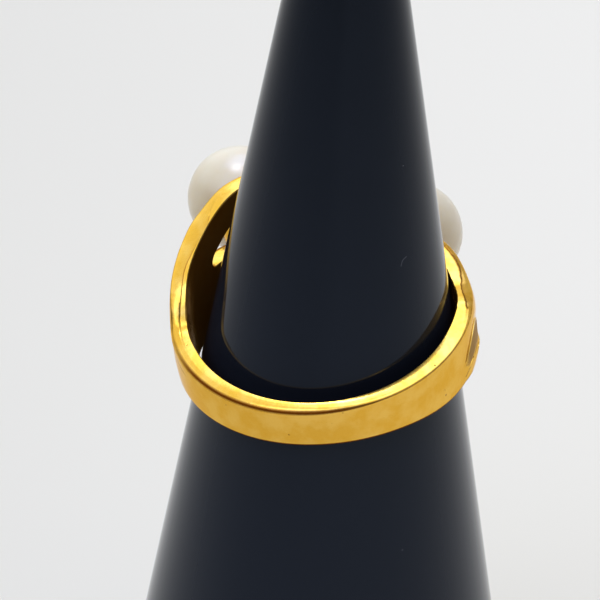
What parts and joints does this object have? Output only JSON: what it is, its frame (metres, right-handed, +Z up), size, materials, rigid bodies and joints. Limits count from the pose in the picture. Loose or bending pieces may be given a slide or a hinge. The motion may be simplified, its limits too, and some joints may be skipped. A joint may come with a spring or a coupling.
{
  "type": "pearl ring on a display cone",
  "caption": "Open bypass finger ring with forked shoulders and two round pearls on pegged cups, slipped over a plain tapering display cone.",
  "frame": {"origin": "middle of the cone's flat base, which stands on the table", "axes": "+Z up along the cone's axis; +Y from the back of the ring's shank to its head, where the pearls are; +X to the right when the ring is seen from the back of its shank"},
  "size_m": [0.0298, 0.0301, 0.072],
  "materials": {
    "gold": "polished yellow gold colour",
    "pearl": "creamy white pearl lustre",
    "cone": "satin black"
  },
  "bodies": {
    "root": {"ring_band": "gold", "pearl_left": "pearl", "pearl_right": "pearl", "display_cone": "cone"}
  },
  "joints": []
}
